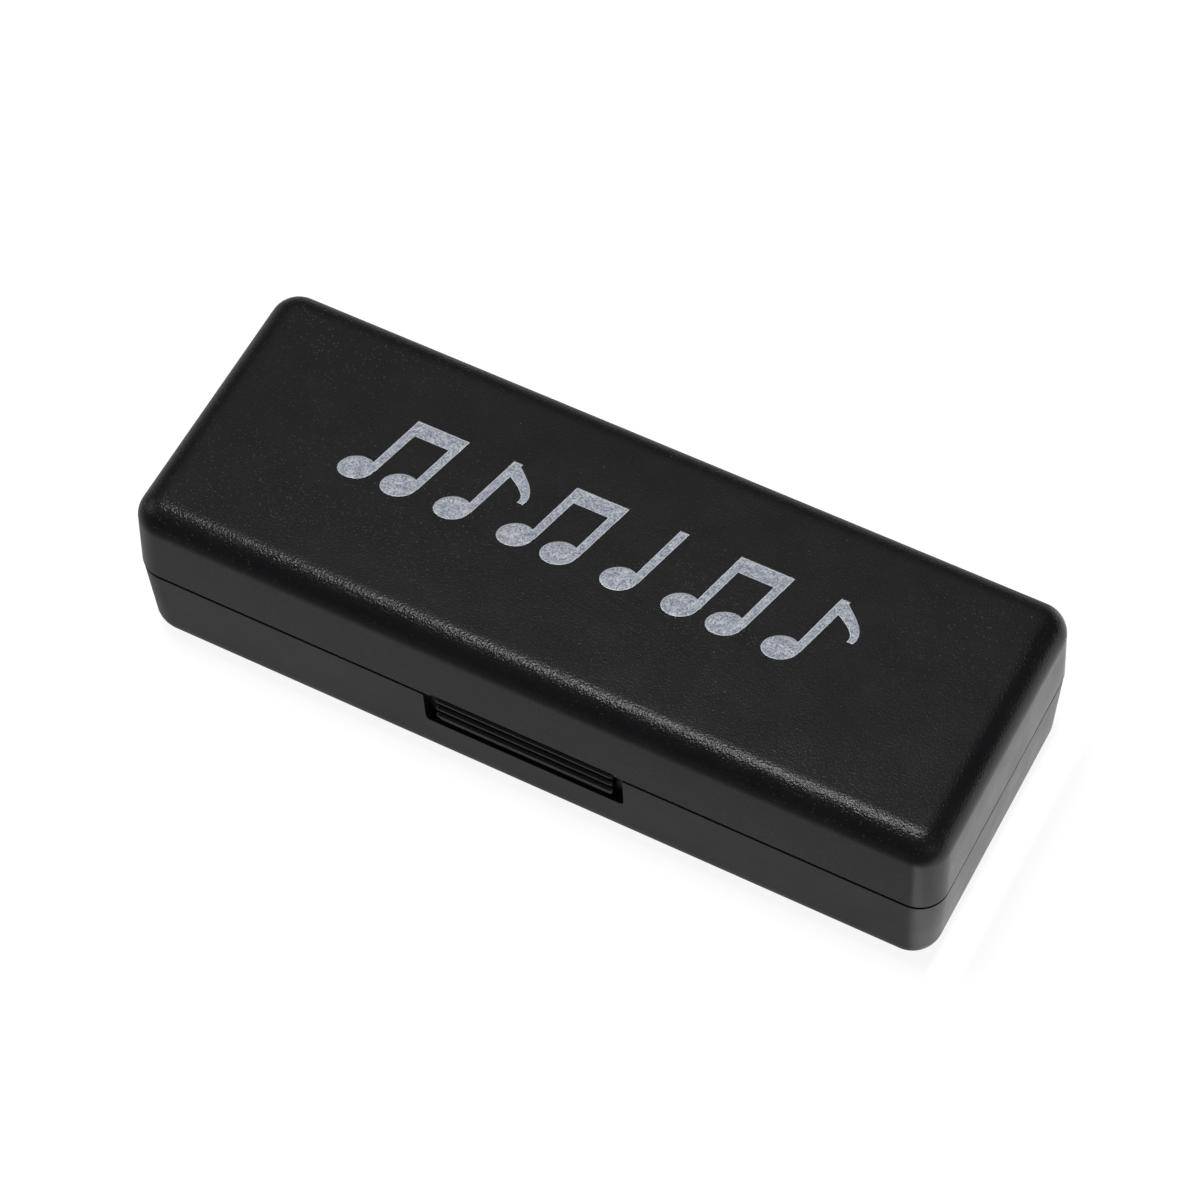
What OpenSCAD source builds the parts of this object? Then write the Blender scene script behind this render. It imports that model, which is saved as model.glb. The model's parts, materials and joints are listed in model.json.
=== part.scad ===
// Ten-hole diatonic harmonica in its hinged plastic case.
// X runs along the case, Y from the latch at the front to the hinge at the back, Z up.
// The origin is the centre of the case's flat bottom.

/* [Case] */
// Length of the case at the parting line
case_l = 120; // [116:1:130]
// Width of the case at the parting line, without the hinge
case_w = 44; // [42:1:50]
// Height of the base shell, from the ground to the parting line
base_h = 16.6; // [16.2:0.1:20]
// Height of the lid shell, from the parting line to the top
lid_h = 13.4; // [13.2:0.1:18]
// Thickness of the shells' side walls
wall = 1.8; // [1.6:0.1:2]
// Thickness of the base's floor and of the lid's top
floor_t = 2; // [1.6:0.1:2]
// Radius of the case's upright corners
corner_r = 4.2; // [3.5:0.1:5]
// Radius along the base's bottom edges
base_fillet = 5; // [4.5:0.1:5.5]
// Radius along the lid's top edges
lid_fillet = 4; // [3.5:0.1:4.5]

/* [Latch] */
// Length of the notch that the latch hangs in
notch_l = 29.8; // [28:0.1:34]
// Height of the notch below the parting line
notch_h = 6.9; // [6.8:0.1:7.5]
// Length of the latch tab
tab_l = 26.6; // [22:0.1:27]
// Height of the latch tab below the parting line
tab_h = 6.3; // [6.2:0.1:6.4]

/* [Hinge] */
// Distance of each hinge from the middle of the case
hinge_x = 35; // [25:1:42]
// Radius of the hinge knuckles
knuckle_r = 1.8; // [1.7:0.1:2]
// Radius of the steel hinge pins
pin_r = 0.8; // [0.7:0.05:0.9]

/* [Harmonica] */
// Length over the cover plates
harp_l = 102; // [100:1:104]
// Depth of the harmonica, mouthpiece to back
harp_w = 27; // [26:0.5:28]
// Thickness of the comb
comb_h = 6.5; // [6:0.1:7]
// Thickness of each reed plate
plate_t = 1; // [0.9:0.05:1.1]
// Height of each cover plate above its reed plate
cover_h = 5.75; // [5.5:0.05:5.8]
// Distance from one hole to the next
hole_pitch = 7.5; // [7.3:0.1:7.6]
// Width of each hole in the comb
hole_w = 5.2; // [5:0.1:5.4]

/* [Reeds] */
// Length of the lowest reed's tongue
reed_long = 17; // [15:0.5:17]
// Length of the highest reed's tongue
reed_short = 9; // [8:0.5:11]
// Width of the lowest reed's tongue
reed_wide = 2.8; // [2.4:0.1:3]
// Width of the highest reed's tongue
reed_narrow = 2.2; // [1.8:0.1:2.4]
// Thickness of the tongues
reed_t = 0.2; // [0.15:0.05:0.25]

/* [Hidden] */
hole_count = 10;
round_fn = 48;
corner_steps = 8;
edge_steps = 8;
skin = 0.01;
cut = 1;

// Shells
parting_z = base_h;
case_h = base_h + lid_h;
base_step = 0.15;
base_draft = 0.45;
lid_draft = 0.3;
corner_taper = 0.9;
lip_h = 1.2;
lip_t = 0.8;
lip_gap = 0.15;
latch_zone = notch_l + 2.4;
boss_t = 1.2;
boss_h = 8.2;

// Latch
notch_floor_y = -case_w / 2 + 1.75;
lid_relief_h = 0.5;
lid_relief_gap = 0.4;
tab_y = -case_w / 2 + 1;
tab_t = 0.65;
tab_axis_z = parting_z + lid_relief_h + 0.1;
tab_bead_r = 0.4;
tab_gap = 0.1;
rib_r = 0.5;
rib_count = 3;
rib_pitch = 1.8;
rib_drop = 1.1;
barb_h = 0.2;
barb_w = 0.6;
barb_l = tab_l - 8;
barb_groove_w = 1;
barb_groove_l = tab_l - 6;

// Hinge
hinge_y = case_w / 2 + knuckle_r + 0.2;
knuckle_gap = 0.2;
lid_knuckle_l = 5.6;
base_knuckle_l = 3;
hinge_half = lid_knuckle_l / 2 + knuckle_gap + base_knuckle_l;
pin_play = 0.05;
pin_recess = 0.1;
web_h = knuckle_r - 0.3;
web_gap = 0.1;
web_root = 0.8;

// Lining
cradle_gap = 0.3;
cradle_top = parting_z - 1;
bed_t = 2.8;
cradle_floor = floor_t + bed_t;
pocket_gap = 0.6;
finger_w = 36;
finger_floor = 8;
pad_over = 2;
pad_l = harp_l + pad_over;
pad_w = harp_w + pad_over;
pad_t = 2.6;

// Harmonica levels
lower_plate_z = cradle_floor + cover_h;
comb_z = lower_plate_z + plate_t;
upper_plate_z = comb_z + comb_h;
upper_cover_z = upper_plate_z + plate_t;
front_y = -harp_w / 2;
comb_back_y = harp_w / 2 - 1;
comb_l = harp_l - 1;
plate_l = harp_l - 3;
plate_front_y = front_y + 0.9;
plate_back_y = comb_back_y - 0.3;

// Reeds
pad_len = 3.2;
pad_high = 0.3;
reed_lift = 0.05;
slot_gap = 0.06;
root_gap = 0.02;
root_cover = 0.3;
chamber_end = 0.6;
blow_tip_y = front_y + 3.3;
draw_root_y = front_y + 5.9;
rivet_r = 0.55;
rivet_head_r = 0.8;
rivet_head_t = 0.25;
fit_gap = 0.01;

// Covers
sheet_t = 0.5;
cover_len = 86;
cover_foot = 1;
cover_rise = 6.5;
cover_drop = 2.5;
cover_back = 1.1;
cover_front_y = front_y + 1.5;
cover_rear_y = harp_w / 2 - 0.3;
flange_w = harp_w - 4;
flange_r = 3;
bolt_x = 47;
bolt_r = 1.1;
bolt_hole_r = 1.2;
bolt_head_r = 2;
bolt_head_t = 1.2;
bolt_end = 0.3;
nut_t = 1.6;
nut_r = 2.3;
slot_w = 0.5;
slot_d = 0.5;

// Screws that hold the reed plates to the comb
screw_r = 0.8;
screw_head_r = 1.4;
screw_head_t = 0.7;
screw_at = [[-40.6, -8.2], [40.6, -8.2], [-40.6, 8.2], [40.6, 8.2], [0, 10.4]];

// Ornament of notes on the lid
ornament_depth = 0.4;
ornament_sink = 0.12;
ornament_y = -1.8;
note_h = 10.4;
note_slant = 2.6;
head_rx = 2.6;
head_ry = 1.9;
head_turn = 25;
stem_x = 1.2;
stem_w = 1.4;
stem_rise = 0.4;
beam_t = 2.5;
beam_gap = 6.5;
flag_h = 5.8;
flag_w = 3.9;
flag_t = 2.3;
flag_turn = 110;
pair_at = [-35.3, -11.2, 13.2];
flagged_at = [-20.7, 27.8];
plain_at = 4.2;

reed_numbers = [1 : hole_count];

function two_digits(i) = str(i < 10 ? "0" : "", i);
function blow_name(i) = str("blow_reed_", two_digits(i));
function draw_name(i) = str("draw_reed_", two_digits(i));

// Position from 0 at the lowest reed to 1 at the highest
function along(i) = (i - 1) / (hole_count - 1);
function hole_x(i) = (i - (hole_count + 1) / 2) * hole_pitch;
function reed_len(i) = reed_long + (reed_short - reed_long) * along(i);
function reed_width(i) = reed_wide + (reed_narrow - reed_wide) * along(i);
function blow_root_y(i) = blow_tip_y + reed_len(i);
function chamber_back_y(i) = blow_root_y(i) + pad_len + chamber_end;

// Outline of a rectangle with round corners, centred on the origin
function rounded_rect(l, w, r) = [
    for (corner = [[1, 1, 0], [-1, 1, 90], [-1, -1, 180], [1, -1, 270]])
    for (i = [0 : corner_steps])
    let (a = corner[2] + 90 * i / corner_steps)
    [corner[0] * (l / 2 - r) + r * cos(a), corner[1] * (w / 2 - r) + r * sin(a)]
];

// Outline of a band of thickness t that follows a list of points
function unit(v) = v / norm(v);
function side_step(p, i, t) =
    let (d = unit(p[min(i + 1, len(p) - 1)] - p[max(i - 1, 0)]))
    [-d[1], d[0]] * t / 2;
function band(p, t) = concat(
    [for (i = [0 : len(p) - 1]) p[i] + side_step(p, i, t)],
    [for (i = [len(p) - 1 : -1 : 0]) p[i] - side_step(p, i, t)]
);

// One half of a case: open flat side at z = 0, rounded edges at z = h
module shell_form(l, w, h, r, fillet, draft) {
    hull() {
        linear_extrude(skin)
            polygon(rounded_rect(l, w, r));
        for (i = [0 : edge_steps])
            let (a = 90 * i / edge_steps, fall = 1 - cos(a), inset = draft + fillet * fall)
            translate([0, 0, h - fillet * (1 - sin(a)) - skin])
                linear_extrude(skin)
                    polygon(rounded_rect(l - 2 * inset, w - 2 * inset, r * (1 - corner_taper * fall)));
    }
}

// Wall-sided ring between two heights, used for the lip and its rebate
module ring(l, w, r, t, h) {
    difference() {
        linear_extrude(h)
            polygon(rounded_rect(l, w, r));
        translate([0, 0, -cut])
            linear_extrude(h + 2 * cut)
                polygon(rounded_rect(l - 2 * t, w - 2 * t, r - t));
    }
}

module bar(x0, x1, y0, y1, z0, z1) {
    translate([x0, y0, z0])
        cube([x1 - x0, y1 - y0, z1 - z0]);
}

module rod_x(x0, x1, y, z, r) {
    translate([x0, y, z])
        rotate([0, 90, 0])
            cylinder(h = x1 - x0, r = r, $fn = round_fn);
}

module post(x, y, z0, z1, r) {
    translate([x, y, z0])
        cylinder(h = z1 - z0, r = r, $fn = round_fn);
}

// Base shell
module case_base() {
    l = case_l - 2 * base_step;
    w = case_w - 2 * base_step;
    knuckle_x = lid_knuckle_l / 2 + knuckle_gap;
    color([0.13, 0.13, 0.135])
    difference() {
        union() {
            difference() {
                translate([0, 0, parting_z])
                    mirror([0, 0, 1])
                        shell_form(l, w, base_h, corner_r, base_fillet, base_draft);
                translate([0, 0, parting_z + skin])
                    mirror([0, 0, 1])
                        shell_form(l - 2 * wall, w - 2 * wall, base_h - floor_t + skin,
                            corner_r - wall, base_fillet - wall, base_draft);
            }
            base_lip(l, w);
            bar(-latch_zone / 2, latch_zone / 2, -case_w / 2 + wall - base_step, -case_w / 2 + wall + boss_t,
                parting_z - boss_h, parting_z);
            for (side = [-1, 1], end = [-1, 1])
                let (x = side * hinge_x + end * (knuckle_x + base_knuckle_l / 2), half = base_knuckle_l / 2) {
                rod_x(x - half, x + half, hinge_y, parting_z, knuckle_r);
                bar(x - half, x + half, case_w / 2 - web_root, hinge_y,
                    parting_z - web_h, parting_z - web_gap);
            }
        }
        bar(-notch_l / 2, notch_l / 2, -case_w / 2 - cut, notch_floor_y,
            parting_z - notch_h, parting_z + cut);
        bar(-barb_groove_l / 2, barb_groove_l / 2, notch_floor_y - cut, notch_floor_y + barb_h,
            parting_z - tab_h, parting_z - tab_h + barb_groove_w);
        for (side = [-1, 1])
            rod_x(side * hinge_x - hinge_half - cut, side * hinge_x + hinge_half + cut,
                hinge_y, parting_z, pin_r);
    }
}

// Upstanding lip inside the parting line, left out behind the latch
module base_lip(l, w) {
    inner = wall - lip_t;
    difference() {
        translate([0, 0, parting_z - lip_h])
            ring(l - 2 * inner, w - 2 * inner, corner_r - inner, lip_t, 2 * lip_h);
        bar(-latch_zone / 2 - cut, latch_zone / 2 + cut, -case_w, 0, parting_z, parting_z + 2 * lip_h);
    }
}

// Lid shell
module case_lid() {
    rebate = wall - lip_t + base_step - lip_gap;
    half = lid_knuckle_l / 2;
    color([0.12, 0.12, 0.125])
    difference() {
        union() {
            difference() {
                translate([0, 0, parting_z])
                    shell_form(case_l, case_w, lid_h, corner_r, lid_fillet, lid_draft);
                translate([0, 0, parting_z - skin])
                    shell_form(case_l - 2 * wall, case_w - 2 * wall, lid_h - floor_t + skin,
                        corner_r - wall, lid_fillet - wall, lid_draft);
                difference() {
                    translate([0, 0, parting_z - cut])
                        linear_extrude(cut + lip_h + lip_gap)
                            polygon(rounded_rect(case_l - 2 * rebate, case_w - 2 * rebate,
                                corner_r - rebate));
                    bar(-latch_zone / 2, latch_zone / 2, -case_w, -case_w / 2 + wall, parting_z - 2 * cut,
                        parting_z + 2 * lip_h);
                }
            }
            for (side = [-1, 1])
                let (x = side * hinge_x) {
                rod_x(x - half, x + half, hinge_y, parting_z, knuckle_r);
                bar(x - half, x + half, case_w / 2 - web_root, hinge_y,
                    parting_z + web_gap, parting_z + web_h);
            }
        }
        for (side = [-1, 1])
            rod_x(side * hinge_x - half - cut, side * hinge_x + half + cut,
                hinge_y, parting_z, pin_r + pin_play);
        rod_x(-tab_l / 2 - tab_gap, tab_l / 2 + tab_gap, tab_y, tab_axis_z, tab_bead_r + tab_gap);
        bar(-tab_l / 2 - lid_relief_gap, tab_l / 2 + lid_relief_gap, -case_w, -case_w / 2 + wall + cut,
            parting_z - cut, parting_z + lid_relief_h);
        translate([0, 0, case_h - ornament_depth])
            ornament_form(ornament_depth + cut);
    }
}

// Spring tab that hangs from a bead in the lid's front edge and holds the base
module latch_tab() {
    front = tab_y - tab_t / 2;
    back = tab_y + tab_t / 2;
    low = parting_z - tab_h;
    color([0.1, 0.1, 0.105]) {
        rod_x(-tab_l / 2, tab_l / 2, tab_y, tab_axis_z, tab_bead_r);
        bar(-tab_l / 2, tab_l / 2, front, back, low, tab_axis_z);
        for (i = [0 : rib_count - 1])
            rod_x(-tab_l / 2, tab_l / 2, front, parting_z - rib_drop - i * rib_pitch, rib_r);
        bar(-barb_l / 2, barb_l / 2, tab_y, back + barb_h, low, low + barb_w);
    }
}

// Steel pins of the two hinges
module hinge_pins() {
    half = hinge_half - pin_recess;
    color([0.75, 0.76, 0.78])
    for (side = [-1, 1])
        rod_x(side * hinge_x - half, side * hinge_x + half, hinge_y, parting_z, pin_r);
}

// Flocked foam bed in the base
module base_cradle() {
    shrink = base_step + wall + cradle_gap;
    pocket_l = harp_l + 2 * pocket_gap;
    pocket_w = harp_w + 2 * pocket_gap;
    color([0.16, 0.17, 0.22])
    difference() {
        translate([0, 0, cradle_top])
            mirror([0, 0, 1])
                shell_form(case_l - 2 * shrink, case_w - 2 * shrink, cradle_top - floor_t,
                    corner_r - wall, base_fillet - wall, base_draft);
        bar(-pocket_l / 2, pocket_l / 2, -pocket_w / 2, pocket_w / 2, cradle_floor, parting_z);
        bar(-finger_w / 2, finger_w / 2, -case_w, -pocket_w / 2 + cut, finger_floor, parting_z);
    }
}

// Flocked foam pad glued inside the lid
module lid_pad() {
    color([0.16, 0.17, 0.22])
    translate([0, 0, case_h - floor_t - pad_t])
        linear_extrude(pad_t)
            polygon(rounded_rect(pad_l, pad_w, corner_r));
}

// Outline of a note's head, centred on the origin
function note_head() = [
    for (i = [0 : round_fn / 2 - 1])
    let (a = 720 * i / round_fn, x = head_rx * cos(a), y = head_ry * sin(a))
    [x * cos(head_turn) - y * sin(head_turn), x * sin(head_turn) + y * cos(head_turn)]
];

// Head and leaning stem of one note, with its head at x
module note(x, h) {
    translate([x, ornament_y, 0]) {
        linear_extrude(h)
            polygon(note_head());
        linear_extrude(h)
            polygon([[stem_x, 0], [stem_x + stem_w, stem_rise], [stem_x + stem_w + note_slant, note_h],
                [stem_x + note_slant, note_h]]);
    }
}

// Beam that joins two notes, the first with its head at x
module beam(x, h) {
    lean = note_slant * beam_t / note_h;
    left = x + stem_x + note_slant;
    right = left + beam_gap + stem_w;
    top = ornament_y + note_h;
    linear_extrude(h)
        polygon([[left - lean, top - beam_t], [right - lean, top - beam_t], [right, top], [left, top]]);
}

// Curved flag at the top of a note's stem, with the note's head at x
module flag(x, h) {
    root = x + stem_x + note_slant + stem_w / 2;
    top = ornament_y + note_h;
    outer = [for (i = [0 : edge_steps])
        let (t = i / edge_steps)
        [root + flag_w * sin(flag_turn * t), top - flag_h * t]];
    inner = [for (i = [edge_steps : -1 : 0])
        let (t = i / edge_steps)
        [root - stem_w / 4 + (flag_w - stem_w / 2) * sin(flag_turn * t),
            top - flag_t - (flag_h - flag_t) * t]];
    linear_extrude(h)
        polygon(concat(outer, inner));
}

// All the notes, from z = 0 to h
module ornament_form(h) {
    for (x = pair_at) {
        note(x, h);
        note(x + beam_gap, h);
        beam(x, h);
    }
    for (x = flagged_at) {
        note(x, h);
        flag(x, h);
    }
    note(plain_at, h);
}

// Silver-white filling of the notes
module lid_ornament() {
    color([0.72, 0.74, 0.8])
    translate([0, 0, case_h - ornament_depth])
        ornament_form(ornament_depth - ornament_sink);
}

// Comb with its ten chambers, open to the front and closed by the reed plates
module comb() {
    color([0.1, 0.1, 0.1])
    difference() {
        bar(-comb_l / 2, comb_l / 2, front_y, comb_back_y, comb_z, comb_z + comb_h);
        for (i = reed_numbers)
            let (x = hole_x(i))
            bar(x - hole_w / 2, x + hole_w / 2, front_y - cut, chamber_back_y(i),
                comb_z - cut, comb_z + comb_h + cut);
        for (side = [-1, 1])
            post(side * bolt_x, 0, comb_z - cut, comb_z + comb_h + cut, bolt_hole_r);
        for (p = screw_at)
            post(p[0], p[1], comb_z - cut, comb_z + comb_h + cut, screw_r + fit_gap);
    }
}

// Reed plate without its slots and rivet holes
module plate_blank(z) {
    difference() {
        bar(-plate_l / 2, plate_l / 2, plate_front_y, plate_back_y, z, z + plate_t);
        for (side = [-1, 1])
            post(side * bolt_x, 0, z - cut, z + plate_t + cut, bolt_hole_r);
        for (p = screw_at)
            post(p[0], p[1], z - cut, z + plate_t + cut, screw_r + fit_gap);
    }
}

// Blow reed plate, on top of the comb
module upper_reed_plate() {
    color([0.8, 0.65, 0.35])
    difference() {
        plate_blank(upper_plate_z);
        for (i = reed_numbers)
            let (x = hole_x(i), half = reed_width(i) / 2 + slot_gap) {
            bar(x - half, x + half, blow_tip_y - slot_gap, blow_root_y(i) - root_cover,
                upper_plate_z - cut, upper_plate_z + plate_t + cut);
            post(x, blow_root_y(i) + pad_len / 2, upper_plate_z - cut, upper_plate_z + plate_t + cut,
                rivet_r + fit_gap);
        }
    }
}

// Draw reed plate, under the comb
module lower_reed_plate() {
    color([0.8, 0.65, 0.35])
    difference() {
        plate_blank(lower_plate_z);
        for (i = reed_numbers)
            let (x = hole_x(i), half = reed_width(i) / 2 + slot_gap) {
            bar(x - half, x + half, draw_root_y + root_cover, draw_root_y + reed_len(i) + slot_gap,
                lower_plate_z - cut, lower_plate_z + plate_t + cut);
            post(x, draw_root_y - pad_len / 2, lower_plate_z - cut, lower_plate_z + plate_t + cut,
                rivet_r + fit_gap);
        }
    }
}

// Riveted end of a reed, drilled for its rivet
module reed_pad(x, y0, z0, w) {
    difference() {
        bar(x - w / 2, x + w / 2, y0, y0 + pad_len, z0, z0 + pad_high);
        post(x, y0 + pad_len / 2, z0 - cut, z0 + pad_high + cut, rivet_r + fit_gap);
    }
}

// Riveted ends of the blow reeds, inside the chambers
module blow_reed_pads() {
    color([0.85, 0.7, 0.4])
    for (i = reed_numbers)
        reed_pad(hole_x(i), blow_root_y(i), upper_plate_z - pad_high, reed_width(i));
}

// Riveted ends of the draw reeds, under the lower plate
module draw_reed_pads() {
    color([0.85, 0.7, 0.4])
    for (i = reed_numbers)
        reed_pad(hole_x(i), draw_root_y - pad_len, lower_plate_z - pad_high, reed_width(i));
}

// Rivets of the blow reeds
module blow_reed_rivets() {
    color([0.7, 0.55, 0.3])
    for (i = reed_numbers)
        let (x = hole_x(i), y = blow_root_y(i) + pad_len / 2, z = upper_plate_z - pad_high) {
        post(x, y, z - rivet_head_t, z, rivet_head_r);
        post(x, y, z - rivet_head_t / 2, upper_cover_z, rivet_r);
    }
}

// Rivets of the draw reeds
module draw_reed_rivets() {
    color([0.7, 0.55, 0.3])
    for (i = reed_numbers)
        let (x = hole_x(i), y = draw_root_y - pad_len / 2, z = lower_plate_z - pad_high) {
        post(x, y, z - rivet_head_t, z, rivet_head_r);
        post(x, y, z - rivet_head_t / 2, comb_z, rivet_r);
    }
}

// Tongue of one blow reed, which swings about its root at the back of the slot
module blow_reed(i) {
    x = hole_x(i);
    half = reed_width(i) / 2;
    z = upper_plate_z - reed_lift - reed_t;
    color([0.9, 0.75, 0.42])
    bar(x - half, x + half, blow_tip_y, blow_root_y(i) - root_gap, z, z + reed_t);
}

// Tongue of one draw reed, which swings about its root at the front of the slot
module draw_reed(i) {
    x = hole_x(i);
    half = reed_width(i) / 2;
    z = lower_plate_z - reed_lift - reed_t;
    color([0.9, 0.75, 0.42])
    bar(x - half, x + half, draw_root_y + root_gap, draw_root_y + reed_len(i), z, z + reed_t);
}

// Middle line of the cover's sheet, from its front foot over the top to the open back
function cover_line() =
    let (half = sheet_t / 2, top = cover_h - half)
    concat(
        [[cover_front_y + half, half]],
        [for (i = [0 : 8])
            let (a = 90 * i / 8)
            [cover_front_y + cover_foot + cover_rise * (1 - cos(a)), half + (top - half) * sin(a)]],
        [for (i = [0 : 6])
            let (a = 80 * i / 6)
            [cover_rear_y - cover_drop * (1 - sin(a)), top - cover_back * (1 - cos(a))]]
    );

// Outline of the space under the cover's sheet, closed to the reed plate
function cover_side() =
    let (p = cover_line())
    concat(
        [[cover_front_y, 0]],
        [for (i = [1 : len(p) - 1]) p[i]],
        [[cover_rear_y - cover_foot - sheet_t, 0]]
    );

// Cover plate with its reed plate at z = 0
module cover_form() {
    difference() {
        union() {
            translate([-cover_len / 2, 0, 0])
                rotate([90, 0, 90])
                    linear_extrude(cover_len)
                        polygon(band(cover_line(), sheet_t));
            for (side = [-1, 1])
                translate([side * (cover_len - sheet_t) / 2 - sheet_t / 2, 0, 0])
                    rotate([90, 0, 90])
                        linear_extrude(sheet_t)
                            polygon(cover_side());
            for (side = [-1, 1])
                translate([side * (cover_len / 2 + flange_l() / 2 - flange_r), 0, 0])
                    linear_extrude(sheet_t)
                        polygon(rounded_rect(flange_l() + 2 * flange_r, flange_w, flange_r));
        }
        bar(-cover_len / 2 + sheet_t, cover_len / 2 - sheet_t, cover_front_y + cover_foot, cover_rear_y,
            -cut, sheet_t + skin);
        for (side = [-1, 1])
            post(side * bolt_x, 0, -cut, sheet_t + cut, bolt_hole_r);
    }
}

function flange_l() = (harp_l - cover_len) / 2;

// Upper cover plate
module upper_cover() {
    color([0.8, 0.81, 0.83])
    translate([0, 0, upper_cover_z])
        cover_form();
}

// Lower cover plate
module lower_cover() {
    color([0.8, 0.81, 0.83])
    translate([0, 0, lower_plate_z])
        mirror([0, 0, 1])
            cover_form();
}

// Bolts through both covers
module cover_bolts() {
    head_z = upper_cover_z + sheet_t;
    color([0.75, 0.76, 0.78])
    for (side = [-1, 1])
        difference() {
            union() {
                post(side * bolt_x, 0, lower_plate_z - sheet_t - nut_t - bolt_end, head_z + slot_d, bolt_r);
                post(side * bolt_x, 0, head_z, head_z + bolt_head_t, bolt_head_r);
            }
            bar(side * bolt_x - bolt_head_r - cut, side * bolt_x + bolt_head_r + cut, -slot_w / 2, slot_w / 2,
                head_z + bolt_head_t - slot_d, head_z + bolt_head_t + cut);
        }
}

// Hexagonal nuts under the lower cover
module cover_nuts() {
    z = lower_plate_z - sheet_t - nut_t;
    color([0.75, 0.76, 0.78])
    for (side = [-1, 1])
        difference() {
            translate([side * bolt_x, 0, z])
                cylinder(h = nut_t, r = nut_r, $fn = 6);
            post(side * bolt_x, 0, z - cut, z + nut_t + cut, bolt_r + fit_gap);
        }
}

// Screws that clamp both reed plates to the comb
module reed_plate_screws() {
    color([0.78, 0.72, 0.5])
    for (p = screw_at)
        difference() {
            union() {
                post(p[0], p[1], lower_plate_z, upper_cover_z + screw_head_t / 2, screw_r);
                post(p[0], p[1], upper_cover_z, upper_cover_z + screw_head_t, screw_head_r);
            }
            bar(p[0] - screw_head_r - cut, p[0] + screw_head_r + cut, p[1] - slot_w / 2, p[1] + slot_w / 2,
                upper_cover_z + screw_head_t - slot_d / 2, upper_cover_z + screw_head_t + cut);
        }
}

case_base();
case_lid();
latch_tab();
hinge_pins();
base_cradle();
lid_pad();
lid_ornament();
comb();
upper_reed_plate();
lower_reed_plate();
blow_reed_pads();
draw_reed_pads();
blow_reed_rivets();
draw_reed_rivets();
upper_cover();
lower_cover();
cover_bolts();
cover_nuts();
reed_plate_screws();
for (i = reed_numbers)
    blow_reed(i);
for (i = reed_numbers)
    draw_reed(i);
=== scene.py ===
"""Looks of a harmonica in its hinged plastic case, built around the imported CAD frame.

Everything is in metres with Z up. The latch is on the -Y side and the hinge on the +Y side.
"""

import json
import math

import bmesh
import bpy
from mathutils import Matrix, Vector, noise


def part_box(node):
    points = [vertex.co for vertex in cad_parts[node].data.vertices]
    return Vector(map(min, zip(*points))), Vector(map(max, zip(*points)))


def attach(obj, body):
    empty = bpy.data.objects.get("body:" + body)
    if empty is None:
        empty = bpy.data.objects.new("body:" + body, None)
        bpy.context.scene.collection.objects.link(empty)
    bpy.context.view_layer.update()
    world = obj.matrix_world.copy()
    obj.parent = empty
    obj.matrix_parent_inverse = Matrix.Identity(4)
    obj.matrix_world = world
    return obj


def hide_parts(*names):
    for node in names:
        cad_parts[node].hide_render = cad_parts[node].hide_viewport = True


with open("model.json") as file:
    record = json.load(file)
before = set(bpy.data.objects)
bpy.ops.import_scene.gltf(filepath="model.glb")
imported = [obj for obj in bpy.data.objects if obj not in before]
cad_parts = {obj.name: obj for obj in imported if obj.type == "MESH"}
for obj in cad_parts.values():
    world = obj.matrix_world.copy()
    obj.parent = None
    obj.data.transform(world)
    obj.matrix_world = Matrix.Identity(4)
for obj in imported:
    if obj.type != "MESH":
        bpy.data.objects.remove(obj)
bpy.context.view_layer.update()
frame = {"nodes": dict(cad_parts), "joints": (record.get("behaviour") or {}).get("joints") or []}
nodes = frame["nodes"]
joints = {j["name"]: j for j in frame["joints"]}

MM = 0.001
CORNER_STEPS = 14
EDGE_STEPS = 14
RIM_STEPS = 5

# Places and sizes that the CAD frame gives
hinge = Vector(joints["case_lid_hinge"]["pos_m"])
latch_axis = Vector(joints["case_latch_flex"]["pos_m"])
lid_low, lid_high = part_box("case_lid")
comb_low, comb_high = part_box("comb")
tab_low, tab_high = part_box("latch_tab")
pin_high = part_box("hinge_pins")[1]
parting_z = hinge.z
case_l = lid_high.x - lid_low.x
case_w = -2 * lid_low.y
lid_h = lid_high.z - parting_z

# Sizes of the mouldings, as in the CAD, apart from the finer step, edges and gap at the parting line
wall = 1.8 * MM
floor_t = 2 * MM
corner_r = 4.2 * MM
base_step = 0.06 * MM
base_draft = 0.45 * MM
lid_draft = 0.3 * MM
base_fillet = 5 * MM
lid_fillet = 4 * MM
corner_taper = 0.9
lip_h = 1.2 * MM
lip_t = 0.8 * MM
rebate = 1.0 * MM
edge_break = 0.08 * MM
rim_gap = 0.1 * MM
shadow_gap = 0.46 * MM
notch_l = 29.8 * MM
notch_h = 6.9 * MM
notch_floor_y = lid_low.y + 1.75 * MM
boss_l = notch_l + 2.4 * MM
boss_h = 8.2 * MM
boss_y = lid_low.y + 3 * MM
lid_relief_h = 0.5 * MM
lid_relief_gap = 0.4 * MM
tab_t = 0.65 * MM
knuckle_r = 1.8 * MM
pin_r = 0.8 * MM


# ---------------------------------------------------------------- mesh tools

def mesh_object(name, bm):
    """Turns a bmesh into an object with outward normals and smooth faces."""
    bmesh.ops.recalc_face_normals(bm, faces=bm.faces)
    for face in bm.faces:
        face.smooth = True
    mesh = bpy.data.meshes.new(name)
    bm.to_mesh(mesh)
    bm.free()
    obj = bpy.data.objects.new(name, mesh)
    bpy.context.scene.collection.objects.link(obj)
    return obj


def settle(obj):
    """Applies every modifier of obj."""
    bpy.context.view_layer.update()
    graph = bpy.context.evaluated_depsgraph_get()
    mesh = bpy.data.meshes.new_from_object(obj.evaluated_get(graph))
    obj.modifiers.clear()
    obj.data = mesh
    return obj


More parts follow.
